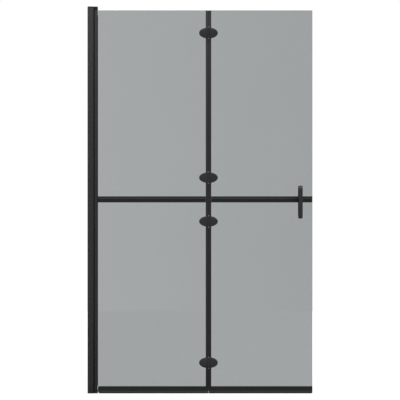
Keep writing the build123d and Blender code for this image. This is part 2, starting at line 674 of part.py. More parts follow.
for number, hz in enumerate(HINGE_Z, start=1):
    for side, leaf in ((-1, "inner"), (1, "outer")):
        # knuckles of this half, as z ranges from the hinge's middle
        if side < 0:
            knuckles = [(OUTER_KNUCKLE, BARREL_H), (-BARREL_H, -OUTER_KNUCKLE)]
            reliefs = [(-OUTER_KNUCKLE, OUTER_KNUCKLE)]
            bore = HPIN_R
        else:
            knuckles = [(-MID_KNUCKLE, MID_KNUCKLE)]
            reliefs = [(MID_KNUCKLE, BARREL_H + 2), (-BARREL_H - 2, -MID_KNUCKLE)]
            bore = HPIN_R + PIN_FIT
        with BuildPart() as front_plate:
            with BuildSketch(Plane.XZ.offset(POCKET)):
                with Locations((FOLD_X, hz)):
                    Ellipse(OVAL_A, OVAL_B)
            extrude(amount=12)
            # trim the block to the domed front
            with BuildSketch(Plane.XY.offset(hz)):
                with BuildLine():
                    EllipticalCenterArc(
                        (FOLD_X, DOME_Y), DOME_A, DOME_B, start_angle=180, arc_size=180
                    )
                    Line((FOLD_X + DOME_A, DOME_Y), (FOLD_X - DOME_A, DOME_Y))
                make_face()
            revolve(
                axis=Axis((FOLD_X, DOME_Y, hz), (1, 0, 0)),
                revolution_arc=360, mode=Mode.INTERSECT,
            )
            fillet(front_plate.edges().sort_by(Axis.Y)[0], radius=1.6)
            # keep this leaf's half
            with Locations((FOLD_X + side * (0.6 - 50), -8, hz)):
                Box(100, 30, 60, mode=Mode.SUBTRACT)
            # recess over the strip at the fold
            with Locations((FOLD_X, 0, hz)):
                Box(2 * (STRIP_HALF + 0.5), 2 * (STRIP_OUT + 0.5), 60, mode=Mode.SUBTRACT)
            # room for the other half's knuckles
            for low, high in reliefs:
                with Locations((FOLD_X, AXIS_Y, hz + low)):
                    Cylinder(
                        RELIEF_R, high - low,
                        align=(Align.CENTER, Align.CENTER, Align.MIN), mode=Mode.SUBTRACT,
                    )
            # own knuckles with a short web to the plate
            for low, high in knuckles:
                with Locations((FOLD_X, AXIS_Y, hz + low)):
                    Cylinder(
                        BARREL_R, high - low, align=(Align.CENTER, Align.CENTER, Align.MIN)
                    )
                with Locations((FOLD_X + side * 2.5, AXIS_Y + 2.0, hz + (low + high) / 2)):
                    Box(3.8, 4.0, min(high - low, 2 * (24.8 - abs(low + high) / 2)))
                with Locations((FOLD_X, AXIS_Y, hz + low)):
                    Cylinder(
                        bore, high - low,
                        align=(Align.CENTER, Align.CENTER, Align.MIN), mode=Mode.SUBTRACT,
                    )
            # blind screw holes from the glass side
            with BuildSketch(Plane.XZ.offset(POCKET)):
                with Locations(*screw_spots(side, hz)):
                    Circle(SCREW_R)
            extrude(amount=8.5 - POCKET, mode=Mode.SUBTRACT)
        front_plate.part.label = f"hinge_{number}_front_{leaf}"
        export_step(front_plate.part, f"parts/hinge_{number}_front_{leaf}.step")

        with BuildPart() as back_plate:
            with BuildSketch(Plane.XZ.offset(-POCKET)):
                with Locations((FOLD_X, hz)):
                    Ellipse(OVAL_A, OVAL_B)
            extrude(amount=-(BACK_Y - POCKET))
            fillet(back_plate.faces().sort_by(Axis.Y)[-1].edges(), radius=1.4)
            with Locations((FOLD_X + side * (0.6 - 50), 8, hz)):
                Box(100, 30, 60, mode=Mode.SUBTRACT)
            with Locations((FOLD_X, 0, hz)):
                Box(2 * (STRIP_HALF + 0.5), 2 * (STRIP_OUT + 0.6), 60, mode=Mode.SUBTRACT)
            with Locations(*[
                Plane(origin=(x, BACK_Y, z), x_dir=(1, 0, 0), z_dir=(0, 1, 0))
                for x, z in screw_spots(side, hz)
            ]):
                CounterSinkHole(
                    radius=SCREW_R + 0.1, counter_sink_radius=4.9, depth=BACK_Y - POCKET
                )
        back_plate.part.label = f"hinge_{number}_back_{leaf}"
        export_step(back_plate.part, f"parts/hinge_{number}_back_{leaf}.step")

# Stainless hinge pins with a domed head at each end
with BuildPart() as hinge_pins:
    with Locations(*[(FOLD_X, AXIS_Y, z) for z in HINGE_Z]):
        Cylinder(HPIN_R, 2 * BARREL_H + 0.2)
    with Locations(*[(FOLD_X, AXIS_Y, z + BARREL_H) for z in HINGE_Z]):
        Cylinder(3.7, 1.8, align=(Align.CENTER, Align.CENTER, Align.MIN))
    with Locations(*[(FOLD_X, AXIS_Y, z - BARREL_H) for z in HINGE_Z]):
        Cylinder(3.7, 1.8, align=(Align.CENTER, Align.CENTER, Align.MAX))
    fillet(
        hinge_pins.edges().filter_by(GeomType.CIRCLE).filter_by(
            lambda e: e.radius > 3.6
            and min(abs(abs(e.center().Z - z) - BARREL_H - 1.8) for z in HINGE_Z) < 0.01
        ),
        radius=1.3,
    )
hinge_pins.part.label = "hinge_pins"
export_step(hinge_pins.part, "parts/hinge_pins.step")

# Nylon washers between the knuckles
WASHER_MID = (MID_KNUCKLE + OUTER_KNUCKLE) / 2
with BuildPart() as hinge_washers:
    with Locations(*[(FOLD_X, AXIS_Y, z + s * WASHER_MID) for z in HINGE_Z for s in (1, -1)]):
        Cylinder(4.2, 0.8)
        Cylinder(HPIN_R + PIN_FIT, 0.8, mode=Mode.SUBTRACT)
hinge_washers.part.label = "hinge_washers"
export_step(hinge_washers.part, "parts/hinge_washers.step")

# Countersunk socket screws, put in from the back
for side, leaf in ((-1, "inner"), (1, "outer")):
    spots = [s for z in HINGE_Z for s in screw_spots(side, z)]
    heads = [
        Plane(origin=(x, BACK_Y, z), x_dir=(1, 0, 0), z_dir=(0, 1, 0)) for x, z in spots
    ]
    with BuildPart() as screws:
        with Locations(*heads):
            Cylinder(
                SCREW_R, BACK_Y + 8.2, align=(Align.CENTER, Align.CENTER, Align.MAX)
            )
            Cone(SCREW_R, 4.8, 2.3, align=(Align.CENTER, Align.CENTER, Align.MAX))
        with BuildSketch(*heads):
            RegularPolygon(1.73, 6)
        extrude(amount=-2.0, mode=Mode.SUBTRACT)
    screws.part.label = f"hinge_screws_{leaf}"
    export_step(screws.part, f"parts/hinge_screws_{leaf}.step")

    # gaskets under both plates, the front ones with collars through the glass
    with BuildPart() as gaskets:
        with BuildSketch(Plane.XZ.offset(G)):
            for z in HINGE_Z:
                with Locations((FOLD_X, z)):
                    Ellipse(OVAL_A - 1.2, OVAL_B - 1.2)
            for z in HINGE_Z:
                with Locations((FOLD_X - side * (50 - STRIP_HALF - 0.5) , z)):
                    Rectangle(100, 60, mode=Mode.SUBTRACT)
            with Locations(*spots):
                Circle(SCREW_R + 0.05, mode=Mode.SUBTRACT)
        extrude(amount=GASKET_T)
        with BuildSketch(Plane.XZ.offset(G)):
            with Locations(*spots):
                Circle(GLASS_HOLE_R - 0.1)
                Circle(SCREW_R + 0.05, mode=Mode.SUBTRACT)
        extrude(amount=-(GLASS_T - 0.2))
        with BuildSketch(Plane.XZ.offset(-G)):
            for z in HINGE_Z:
                with Locations((FOLD_X, z)):
                    Ellipse(OVAL_A - 1.2, OVAL_B - 1.2)
            for z in HINGE_Z:
                with Locations((FOLD_X - side * (50 - STRIP_HALF - 0.5), z)):
                    Rectangle(100, 60, mode=Mode.SUBTRACT)
            with Locations(*spots):
                Circle(SCREW_R + 0.05, mode=Mode.SUBTRACT)
        extrude(amount=-GASKET_T)
    gaskets.part.label = f"hinge_gaskets_{leaf}"
    export_step(gaskets.part, f"parts/hinge_gaskets_{leaf}.step")

# ------------------------------------------------------------------ handles
def bow_section(s):
    """Side view of the bow handle in the YZ plane, s = -1 front, +1 back."""
    foot = s * (G + WASHER_T)
    bar_in = s * (HANDLE_OUT - HANDLE_BAR)
    bar_out = s * HANDLE_OUT
    hi, lo = HANDLE_Z + HANDLE_HALF, HANDLE_Z - HANDLE_HALF
    r_out, r_in = 20.0, 14.0
    k = sqrt(0.5)
    with BuildSketch(Plane.YZ.offset(HANDLE_X - HANDLE_W / 2)) as section:
        with BuildLine():
            Line((foot, hi), (bar_out - s * r_out, hi))
            ThreePointArc(
                (bar_out - s * r_out, hi),
                (bar_out - s * r_out * (1 - k), hi - r_out * (1 - k)),
                (bar_out, hi - r_out),
            )
            Line((bar_out, hi - r_out), (bar_out, lo + r_out))
            ThreePointArc(
                (bar_out, lo + r_out),
                (bar_out - s * r_out * (1 - k), lo + r_out * (1 - k)),
                (bar_out - s * r_out, lo),
            )
            Line((bar_out - s * r_out, lo), (foot, lo))
            Line((foot, lo), (foot, lo + HANDLE_FOOT))
            Line((foot, lo + HANDLE_FOOT), (bar_in - s * r_in, lo + HANDLE_FOOT))
            ThreePointArc(
                (bar_in - s * r_in, lo + HANDLE_FOOT),
                (bar_in - s * r_in * (1 - k), lo + HANDLE_FOOT + r_in * (1 - k)),
                (bar_in, lo + HANDLE_FOOT + r_in),
            )
            Line((bar_in, lo + HANDLE_FOOT + r_in), (bar_in, hi - HANDLE_FOOT - r_in))
            ThreePointArc(
                (bar_in, hi - HANDLE_FOOT - r_in),
                (bar_in - s * r_in * (1 - k), hi - HANDLE_FOOT - r_in * (1 - k)),
                (bar_in - s * r_in, hi - HANDLE_FOOT),
            )
            Line((bar_in - s * r_in, hi - HANDLE_FOOT), (foot, hi - HANDLE_FOOT))
            Line((foot, hi - HANDLE_FOOT), (foot, hi))
        make_face()
    return section.sketch


for s, where in ((-1, "front"), (1, "back")):
    section = bow_section(s)
    with BuildPart() as handle:
        extrude(section, amount=HANDLE_W)
        sides = handle.faces().filter_by(Axis.X)
        long_edges = [
            e for f in sides for e in f.edges()
            if abs(abs(e.center().Y) - (G + WASHER_T)) > 0.1
        ]
        fillet(long_edges, radius=2.8)
        with BuildSketch(Plane.XZ):
            with Locations((HANDLE_X, HANDLE_Z - HOLE_DZ), (HANDLE_X, HANDLE_Z + HOLE_DZ)):
                Circle(STUD_R)
        extrude(amount=-s * 18.4, mode=Mode.SUBTRACT)
    handle.part.label = f"handle_{where}"
    export_step(handle.part, f"parts/handle_{where}.step")

# Threaded studs that join the two handles through the glass
with BuildPart() as handle_studs:
    with BuildSketch(Plane.XZ):
        with Locations((HANDLE_X, HANDLE_Z - HOLE_DZ), (HANDLE_X, HANDLE_Z + HOLE_DZ)):
            Circle(STUD_R)
    extrude(amount=18.0, both=True)
    chamfer(handle_studs.edges().filter_by(GeomType.CIRCLE), length=0.5)
handle_studs.part.label = "handle_studs"
export_step(handle_studs.part, "parts/handle_studs.step")

with BuildPart() as handle_sleeves:
    with BuildSketch(Plane.XZ):
        with Locations((HANDLE_X, HANDLE_Z - HOLE_DZ), (HANDLE_X, HANDLE_Z + HOLE_DZ)):
            Circle(HANDLE_HOLE_R - 0.1)
            Circle(STUD_R + 0.05, mode=Mode.SUBTRACT)
    extrude(amount=G - 0.1, both=True)
handle_sleeves.part.label = "handle_sleeves"
export_step(handle_sleeves.part, "parts/handle_sleeves.step")

with BuildPart() as handle_washers:
    for s in (-1, 1):
        with BuildSketch(Plane.XZ.offset(-s * G)):
            with Locations(
                (HANDLE_X, HANDLE_Z - HOLE_DZ), (HANDLE_X, HANDLE_Z + HOLE_DZ)
            ):
                Circle(7.4)
                Circle(STUD_R + 0.05, mode=Mode.SUBTRACT)
        extrude(amount=-s * WASHER_T)
handle_washers.part.label = "handle_washers"
export_step(handle_washers.part, "parts/handle_washers.step")
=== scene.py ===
import json
from math import asin, atan2, ceil, cos, degrees, pi, radians, sin, tan

import bmesh
import bpy
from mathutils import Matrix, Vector
from mathutils.geometry import interpolate_bezier, tessellate_polygon


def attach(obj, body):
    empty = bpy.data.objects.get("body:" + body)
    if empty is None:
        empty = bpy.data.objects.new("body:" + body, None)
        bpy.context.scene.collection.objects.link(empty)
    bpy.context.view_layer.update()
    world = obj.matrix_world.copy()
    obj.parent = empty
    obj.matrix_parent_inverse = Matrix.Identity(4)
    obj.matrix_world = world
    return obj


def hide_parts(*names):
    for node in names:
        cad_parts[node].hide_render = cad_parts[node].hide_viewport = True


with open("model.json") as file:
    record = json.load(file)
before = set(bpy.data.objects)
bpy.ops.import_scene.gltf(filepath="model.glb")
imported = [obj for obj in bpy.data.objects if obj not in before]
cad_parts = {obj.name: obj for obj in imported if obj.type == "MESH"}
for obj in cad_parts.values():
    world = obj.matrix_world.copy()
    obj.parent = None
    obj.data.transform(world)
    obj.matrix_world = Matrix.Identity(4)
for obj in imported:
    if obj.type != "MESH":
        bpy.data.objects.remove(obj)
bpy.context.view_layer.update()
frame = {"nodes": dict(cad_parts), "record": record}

nodes = frame["nodes"]
scene = bpy.context.scene

# ------------------------------------------------------------------ camera
# Level, straight on, from 8.8 m in front of the glass
cam_data = bpy.data.cameras.new("camera")
cam_data.sensor_width = 36.0
cam_data.lens = 161.06
camera = bpy.data.objects.new("camera", cam_data)
camera.location = (0.5524, -8.8, 0.94966)
camera.rotation_euler = (radians(90), 0, 0)
cam_data.clip_start, cam_data.clip_end = 0.1, 60
scene.collection.objects.link(camera)
scene.camera = camera
scene.view_settings.view_transform = "Standard"


# ------------------------------------------------------------------ node helpers
class Nodes:
    """A material's node tree with short calls for the nodes used here."""

    def __init__(self, name):
        self.material = bpy.data.materials.new(name)
        self.material.use_nodes = True
        self.tree = self.material.node_tree
        self.tree.nodes.clear()
        self.out = self.tree.nodes.new("ShaderNodeOutputMaterial")
        self.shader = self.tree.nodes.new("ShaderNodeBsdfPrincipled")
        self.link(self.shader.outputs[0], self.out.inputs["Surface"])
        self.place = self.tree.nodes.new("ShaderNodeTexCoord").outputs["Object"]

    def link(self, a, b):
        self.tree.links.new(a, b)

    def feed(self, value, socket):
        if isinstance(value, bpy.types.NodeSocket):
            self.link(value, socket)
        else:
            socket.default_value = value

    def stretch(self, scale, source=None):
        """Coordinates scaled along each axis, in cells per metre."""
        n = self.tree.nodes.new("ShaderNodeVectorMath")
        n.operation = "MULTIPLY"
        self.link(source or self.place, n.inputs[0])
        n.inputs[1].default_value = scale
        return n.outputs[0]

    def noise(self, scale, detail=3.0, rough=0.55, vector=None, distortion=0.0):
        n = self.tree.nodes.new("ShaderNodeTexNoise")
        self.link(vector or self.place, n.inputs["Vector"])
        n.inputs["Scale"].default_value = scale
        n.inputs["Detail"].default_value = detail
        n.inputs["Roughness"].default_value = rough
        n.inputs["Distortion"].default_value = distortion
        return n.outputs[0]

    def cells(self, scale, vector=None, feature="F1"):
        n = self.tree.nodes.new("ShaderNodeTexVoronoi")
        n.feature = feature
        self.link(vector or self.place, n.inputs["Vector"])
        n.inputs["Scale"].default_value = scale
        return n.outputs["Distance"]

    def fit(self, value, low, high, to_low, to_high):
        n = self.tree.nodes.new("ShaderNodeMapRange")
        self.link(value, n.inputs[0])
        for i, v in enumerate((low, high, to_low, to_high), start=1):
            n.inputs[i].default_value = v
        return n.outputs[0]

    def math(self, kind, a, b=0.0, c=0.0):
        n = self.tree.nodes.new("ShaderNodeMath")
        n.operation = kind
        for value, socket in zip((a, b, c), n.inputs):
            self.feed(value, socket)
        return n.outputs[0]

    def mix(self, share, a, b):
        n = self.tree.nodes.new("ShaderNodeMix")
        n.data_type = "RGBA"
        self.feed(share, n.inputs[0])
        self.feed(a, n.inputs[6])
        self.feed(b, n.inputs[7])
        return n.outputs[2]

    def bump(self, height, depth, normal=None):
        """Relief of the given depth in metres."""
        n = self.tree.nodes.new("ShaderNodeBump")
        n.inputs["Strength"].default_value = 1.0
        n.inputs["Distance"].default_value = depth
        self.link(height, n.inputs["Height"])
        if normal is not None:
            self.link(normal, n.inputs["Normal"])
        return n.outputs[0]

    def axis(self, letter, source=None):
        n = self.tree.nodes.new("ShaderNodeSeparateXYZ")
        self.link(source or self.place, n.inputs[0])
        return n.outputs[letter]

    def surface(self, **values):
        for name, value in values.items():
            self.feed(value, self.shader.inputs[name.replace("_", " ")])
        return self.material


def grey(v, warm=0.0):
    return (v * (1 + warm), v, v * (1 - warm), 1.0)


# ------------------------------------------------------------------ finishes
def powder_coat(name, base, along, rough=0.5, ior=1.5):
    """Textured powder coat on an extrusion: fine grain, a soft orange peel, faint
    die lines along the profile and a slightly uneven tone."""
    n = Nodes(name)
    grain = n.noise(1500, 4.0, 0.6)
    peel = n.noise(260, 2.0)
    across = {"X": (3.0, 900.0, 900.0), "Z": (900.0, 900.0, 3.0)}[along]
    lines = n.noise(1.0, 2.0, 0.5, vector=n.stretch(across))
    tone = n.noise(5.0, 4.0, 0.6)
    speck = n.fit(n.cells(700), 0.0, 0.35, 1.0, 0.0)
    share = n.math("MULTIPLY_ADD", grain, 0.5, n.math("MULTIPLY", tone, 0.5))
    share = n.math("MULTIPLY_ADD", speck, 0.45, share)
    colour = n.mix(share, grey(base * 0.5), grey(base * 1.4))
    shine = n.fit(n.math("ADD", n.math("MULTIPLY", tone, 0.6), n.math("MULTIPLY", grain, 0.4)),
                  0.3, 0.7, rough - 0.06, rough + 0.07)
    relief = n.bump(grain, 0.00009)
    relief = n.bump(peel, 0.00012, relief)
    relief = n.bump(lines, 0.00001, relief)
    return n.surface(Base_Color=colour, Roughness=shine, Normal=relief, IOR=ior)


def cast_paint(name, base, rough=0.42):
    """Painted casting: smoother than the extrusions, with a satin orange peel."""
    n = Nodes(name)
    peel = n.noise(420, 3.0, 0.5)
    fine = n.noise(2200, 2.0)
    tone = n.noise(22.0, 4.0, 0.6)
    colour = n.mix(n.math("MULTIPLY_ADD", fine, 0.4, n.math("MULTIPLY", tone, 0.6)),
                   grey(base * 0.75), grey(base * 1.25))
    shine = n.fit(tone, 0.3, 0.7, rough - 0.06, rough + 0.06)
    relief = n.bump(fine, 0.00003)
    relief = n.bump(peel, 0.00007, relief)
    return n.surface(Base_Color=colour, Roughness=shine, Normal=relief, IOR=1.5)


def moulded(name, base, rough=0.55, warm=0.0):
    """Moulded plastic with an eroded-steel grain."""
    n = Nodes(name)
    grain = n.noise(1100, 5.0, 0.65)
    pits = n.fit(n.cells(1600), 0.0, 0.6, 0.0, 1.0)
    tone = n.noise(40, 3.0)
    colour = n.mix(n.math("MULTIPLY_ADD", grain, 0.5, n.math("MULTIPLY", tone, 0.5)),
                   grey(base * 0.75, warm), grey(base * 1.25, warm))
    shine = n.fit(grain, 0.3, 0.7, rough - 0.05, rough + 0.08)
    relief = n.bump(n.math("MULTIPLY_ADD", pits, 0.5, grain), 0.00003)
    return n.surface(Base_Color=colour, Roughness=shine, Normal=relief, IOR=1.48)


def vinyl(name, base, along, rough=0.45):
    """Extruded soft vinyl: long drawn streaks and a waxy, uneven sheen."""
    n = Nodes(name)
    across = {"X": (2.0, 700.0, 700.0), "Z": (700.0, 700.0, 2.0)}[along]
    streak = n.noise(1.0, 3.0, 0.6, vector=n.stretch(across))
    smear = n.noise(9.0, 4.0, 0.65)
    dust = n.fit(n.cells(500), 0.0, 0.25, 1.0, 0.0)
    share = n.math("MULTIPLY_ADD", streak, 0.5, n.math("MULTIPLY", smear, 0.4))
    colour = n.mix(n.math("MULTIPLY_ADD", dust, 0.1, share), grey(base * 0.8), grey(base * 1.25))
    shine = n.fit(smear, 0.3, 0.7, rough - 0.07, rough + 0.09)
    relief = n.bump(streak, 0.00002)
    relief = n.bump(n.noise(300, 2.0), 0.00002, relief)
    return n.surface(Base_Color=colour, Roughness=shine, Normal=relief, IOR=1.46)


def rubber(name, base):
    n = Nodes(name)
    grain = n.noise(900, 4.0, 0.6)
    bloom = n.noise(30, 4.0, 0.6)
    colour = n.mix(bloom, grey(base * 0.7), grey(base * 1.5))
    shine = n.fit(grain, 0.3, 0.7, 0.66, 0.8)
    return n.surface(Base_Color=colour, Roughness=shine, Normal=n.bump(grain, 0.00004), IOR=1.5)


def acetal(name):
    """Black bearing plastic, turned: faint rings and a waxy sheen."""
    n = Nodes(name)
    grain = n.noise(1200, 3.0)
    rings = n.noise(1.0, 2.0, 0.5, vector=n.stretch((80.0, 80.0, 2500.0)))
    cloud = n.noise(90, 3.0)
    colour = n.mix(cloud, grey(0.008), grey(0.014))
    shine = n.fit(grain, 0.3, 0.7, 0.42, 0.55)
    relief = n.bump(rings, 0.00001)
    relief = n.bump(grain, 0.000015, relief)
    return n.surface(Base_Color=colour, Roughness=shine, Normal=relief, IOR=1.48)


def turned_steel(name):
    """Drawn stainless: fine lines round and along the pins."""
    n = Nodes(name)
    rings = n.noise(1.0, 2.0, 0.5, vector=n.stretch((60.0, 60.0, 5000.0)))
    drawn = n.noise(1.0, 2.0, 0.5, vector=n.stretch((3000.0, 3000.0, 40.0)))
    tone = n.noise(120, 3.0)
    colour = n.mix(tone, (0.50, 0.50, 0.49, 1), (0.62, 0.62, 0.60, 1))
    shine = n.fit(rings, 0.3, 0.7, 0.24, 0.38)
    relief = n.bump(rings, 0.000006)
    relief = n.bump(drawn, 0.000004, relief)
    return n.surface(Base_Color=colour, Roughness=shine, Normal=relief, Metallic=1.0)


def black_oxide(name):
    n = Nodes(name)
    grain = n.noise(1800, 4.0, 0.6)
    tone = n.noise(160, 3.0)
    colour = n.mix(tone, grey(0.022), grey(0.05, 0.04))
    shine = n.fit(grain, 0.3, 0.7, 0.34, 0.5)
    return n.surface(Base_Color=colour, Roughness=shine, Normal=n.bump(grain, 0.00001), IOR=1.6)


def tinted_glass(name):
    """Grey body-tinted safety glass, with the faint unevenness of a rolled pane."""
    n = Nodes(name)
    cloud = n.noise(2.2, 3.0, 0.55)
    colour = n.mix(cloud, (0.341, 0.358, 0.363, 1), (0.358, 0.374, 0.379, 1))
    wave = n.noise(5.0, 1.0)
    return n.surface(Base_Color=colour, Roughness=0.0, Normal=n.bump(wave, 0.00002),
                     Transmission_Weight=1.0, IOR=1.5)


finishes = {
    # The rails' copy of the powder coat has a darker base (0.0095 against 0.0155) and a lower IOR, so it
    # reflects less: painted shade on the rails
    "black_profile_x_painted_shade": powder_coat("black_profile_x_painted_shade", 0.0095, "X", 0.5, 1.42),
    "black_profile_z": powder_coat("black_profile_z", 0.0155, "Z"),
    "black_fitting": cast_paint("black_fitting", 0.016),
    "black_plastic": moulded("black_plastic", 0.006),
    "seal_strip": vinyl("seal_strip", 0.014, "Z"),
    "gasket_rubber": rubber("gasket_rubber", 0.010),
    "nylon": acetal("nylon"),
    "steel": turned_steel("steel"),
    "black_screw": black_oxide("black_screw"),
    "grey_glass": tinted_glass("grey_glass"),
}
slot_of = {s["node"]: s["material_slot"] for s in frame["record"]["subparts"]}
for name, obj in nodes.items():
    slot = slot_of[name]
    if slot == "black_profile":
        # the rails take the darker copy of the coat, which paints shade onto them
        slot = "black_profile_x_painted_shade" if "rail" in name else "black_profile_z"
    obj.data.materials.clear()
    obj.data.materials.append(finishes[slot])

# ------------------------------------------------------------------ profiles
# The long extrusions are rebuilt with softened edges. Sections are in millimetres,
# in the same places as the CAD sections they stand for.
FOLD = 594.1
WIDTH = 1105.0


def arc(u, v, r, start, end, step=7.5):
    """Points on an arc round (u, v) from one angle to another, in degrees."""
    n = max(2, ceil(abs(end - start) / step))
    return [
        (u + r * cos(radians(start + (end - start) * i / n)),
         v + r * sin(radians(start + (end - start) * i / n)), 0)
        for i in range(n + 1)
    ]


def rounded(corners, step=15):
    """A closed outline from (u, v, radius) corners."""
    out = []
    for i, (u, v, r) in enumerate(corners):
        here = Vector((u, v))
        before = Vector(corners[i - 1][:2]) - here
        after = Vector(corners[(i + 1) % len(corners)][:2]) - here
        if not r or before.length < 1e-6 or after.length < 1e-6:
            out.append((u, v))
            continue
        half = before.angle(after) / 2
        if half > radians(88):
            out.append((u, v))
            continue
        cut = min(r / tan(half), 0.45 * before.length, 0.45 * after.length)
        r = cut * tan(half)
        a, b = before.normalized(), after.normalized()
        centre = here + (a + b).normalized() * (r / sin(half))
        p, q = here + a * cut - centre, here + b * cut - centre
        start = atan2(p.y, p.x)
        turn = atan2(q.y, q.x) - start
        turn = (turn + pi) % (2 * pi) - pi
        n = max(2, ceil(abs(turn) / radians(step)))
        for k in range(n + 1):
            t = start + turn * k / n
            out.append((centre.x + r * cos(t), centre.y + r * sin(t)))
    return out


def area(loop):
    return sum(
        a[0] * b[1] - b[0] * a[1] for a, b in zip(loop, loop[1:] + loop[:1])
    ) / 2


def inset(loop, depth):
    """The outline moved into the material, which lies to its left."""
    if not depth:
        return loop
    out = []
    for i, (u, v) in enumerate(loop):
        here = Vector((u, v))
        a = (here - Vector(loop[i - 1])).normalized()
        b = (Vector(loop[(i + 1) % len(loop)]) - here).normalized()
        na, nb = Vector((-a.y, a.x)), Vector((-b.y, b.x))
        n = na + nb
        if n.length < 1e-6:
            out.append((u, v))
            continue
        n.normalize()
        out.append(tuple(here + n * depth / max(n.dot(na), 0.6)))
    return out


def profile(name, loops, stations, upright, body, stands_for, finish, shape=None):
    """Lofts a section along its length. loops are closed outlines, the outer one
    first; stations are (position, inset) pairs; shape may move single points."""
    rings = []
    ordered = []
    for k, loop in enumerate(loops):
        right_way = area(loop) > 0 if k == 0 else area(loop) < 0
        ordered.append(loop if right_way else loop[::-1])
    verts, faces = [], []
    for t, depth in stations:
        ring = []
        for loop in ordered:
            ids = []
            for u, v in inset(loop, depth):
                if shape:
                    u, v = shape(u, v, t)
                ids.append(len(verts))
                place = (u, v, t) if upright else (t, u, v)
                verts.append([c / 1000 for c in place])
            ring.append(ids)
        rings.append(ring)
    for low, high in zip(rings, rings[1:]):
        for a, b in zip(low, high):
            n = len(a)
            for i in range(n):
                j = (i + 1) % n
                faces.append((a[i], a[j], b[j], b[i]))
    for ring, top in ((rings[0], False), (rings[-1], True)):
        # the plain outline, since the inset one can cross itself at a narrow slot
        flat = [[Vector((*p, 0)) for p in loop] for loop in ordered]
        ids = [i for part in ring for i in part]
        points = [p for part in flat for p in part]
        for tri in tessellate_polygon(flat):
            a, b, c = (points[i] for i in tri)
            if ((b - a).cross(c - a).z > 0) != top:
                tri = tri[::-1]
            faces.append(tuple(ids[i] for i in tri))
    mesh = bpy.data.meshes.new(name)
    mesh.from_pydata(verts, [], faces)
    merged = bmesh.new()
    merged.from_mesh(mesh)
    bmesh.ops.remove_doubles(merged, verts=merged.verts, dist=2e-6)
    merged.to_mesh(mesh)
    merged.free()
    mesh.validate()
    mesh.update()
    mesh.shade_smooth()
    mesh.set_sharp_from_angle(angle=radians(34))
    mesh.materials.append(finishes[finish])
    obj = bpy.data.objects.new(name, mesh)
    scene.collection.objects.link(obj)
    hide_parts(stands_for)
    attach(obj, body)
    return obj


def ends(start, end, soft=0.25):
    """Stations of a sawn and deburred length."""
    return [(start, soft), (start + soft * 0.4, soft * 0.4), (start + soft, 0),
            (end - soft, 0), (end - soft * 0.4, soft * 0.4), (end, soft)]


# carrier with its slanted wings and the cradle round the post
carrier = rounded(
    [(1.0, -13.4, 0.3), (1.0, -15.0, 0.5), (26.5, -15.0, 0.9), (31.5, -9.5, 0.5)]
    + [(32.38, -8.0, 0.4)] + arc(40.5, 0, 11.4, 224.6, 135.4, 5)[1:-1] + [(32.38, 8.0, 0.4)]
    + [(31.5, 9.5, 0.5), (26.5, 15.0, 0.9), (1.0, 15.0, 0.5), (1.0, 13.4, 0.3)]
    + [(25.79, 13.4, 0.3), (30.33, 8.41, 0.3)] + arc(40.5, 0, 13.2, 140.4, 219.6, 8)[1:-1]
    + [(30.33, -8.41, 0.3), (25.79, -13.4, 0.3)]
)
profile("carrier", [carrier], ends(7.0, 1896.0), True, "carrier", "carrier_profile",
        "black_profile_z")

# round post with the glazing slot that runs into its bore
lip = degrees(asin(4.5 / 10.0))
bore = degrees(asin(3.795 / 4.2))
post = rounded(
    [(*arc(40.5, 0, 10.0, lip, 360 - lip, 5)[0][:2], 0.7)]
    + arc(40.5, 0, 10.0, lip, 360 - lip, 5)[1:-1]
    + [(*arc(40.5, 0, 10.0, lip, 360 - lip, 5)[-1][:2], 0.7), (42.3, -4.5, 0), (42.3, -3.795, 0)]
    + arc(40.5, 0, 4.2, 360 - bore, bore, 12)[1:-1]
    + [(42.3, 3.795, 0), (42.3, 4.5, 0)]
)
profile("post", [post], ends(19.6, 1882.0), True, "inner_leaf", "pivot_profile",
        "black_profile_z")


# strips over the fold, closed by a tongue in a slot
def crown(side, top):
    """Outer face of a strip from its free edge to the fold plane."""
    half, out = 13.6, 6.3
    depths = [half - (half - 0.3) * (i / 22) for i in range(23)]
    points = []
    for d in depths:
        y = out - (out - 3.7) * (d / half) ** 2.2
        r = 0.35 if d == half else (0.45 if d < 0.31 else 0)
        points.append((FOLD + side * d, y if top else -y, r))
    return points


strip_outer = rounded(
    [(FOLD + 6, -3.0, 0), (FOLD + 13.6, -3.0, 0.3)] + crown(1, False)
    + [(FOLD + 0.3, -0.6, 0), (FOLD - 2.2, -0.6, 0.4), (FOLD - 2.2, 0.6, 0.4), (FOLD + 0.3, 0.6, 0)]
    + crown(1, True)[::-1] + [(FOLD + 13.6, 3.0, 0.3), (FOLD + 6, 3.0, 0)]
)
chamber = rounded(
    [(FOLD + 1.5, -4.5, 0.5), (FOLD + 4.8, -4.5, 0.5), (FOLD + 4.8, 4.5, 0.5), (FOLD + 1.5, 4.5, 0.5)]
)
strip_inner = rounded(
    [(FOLD - 6, -3.0, 0), (FOLD - 13.6, -3.0, 0.3)] + crown(-1, False)
    + [(FOLD - 0.3, -1.2, 0.3), (FOLD - 1.5, -1.2, 0.3), (FOLD - 1.5, -4.5, 0.3),
       (FOLD - 4.8, -4.5, 0.5), (FOLD - 4.8, 4.5, 0.5), (FOLD - 1.5, 4.5, 0.3),
       (FOLD - 1.5, 1.6, 0.3), (FOLD - 0.3, 1.6, 0.3)]
    + crown(-1, True)[::-1] + [(FOLD - 13.6, 3.0, 0.3), (FOLD - 6, 3.0, 0)]
)
profile("fold_strip_outer", [strip_outer, chamber], ends(34.0, 1881.0, 0.35), True,
        "outer_leaf", "fold_seal_outer", "seal_strip")
profile("fold_strip_inner", [strip_inner], ends(34.0, 1881.0, 0.35), True,
        "inner_leaf", "fold_seal_inner", "seal_strip")


def both_sides(half):
    """A section from its right half, listed from top to bottom."""
    return half + [(-u, v, r) for u, v, r in reversed(half)]


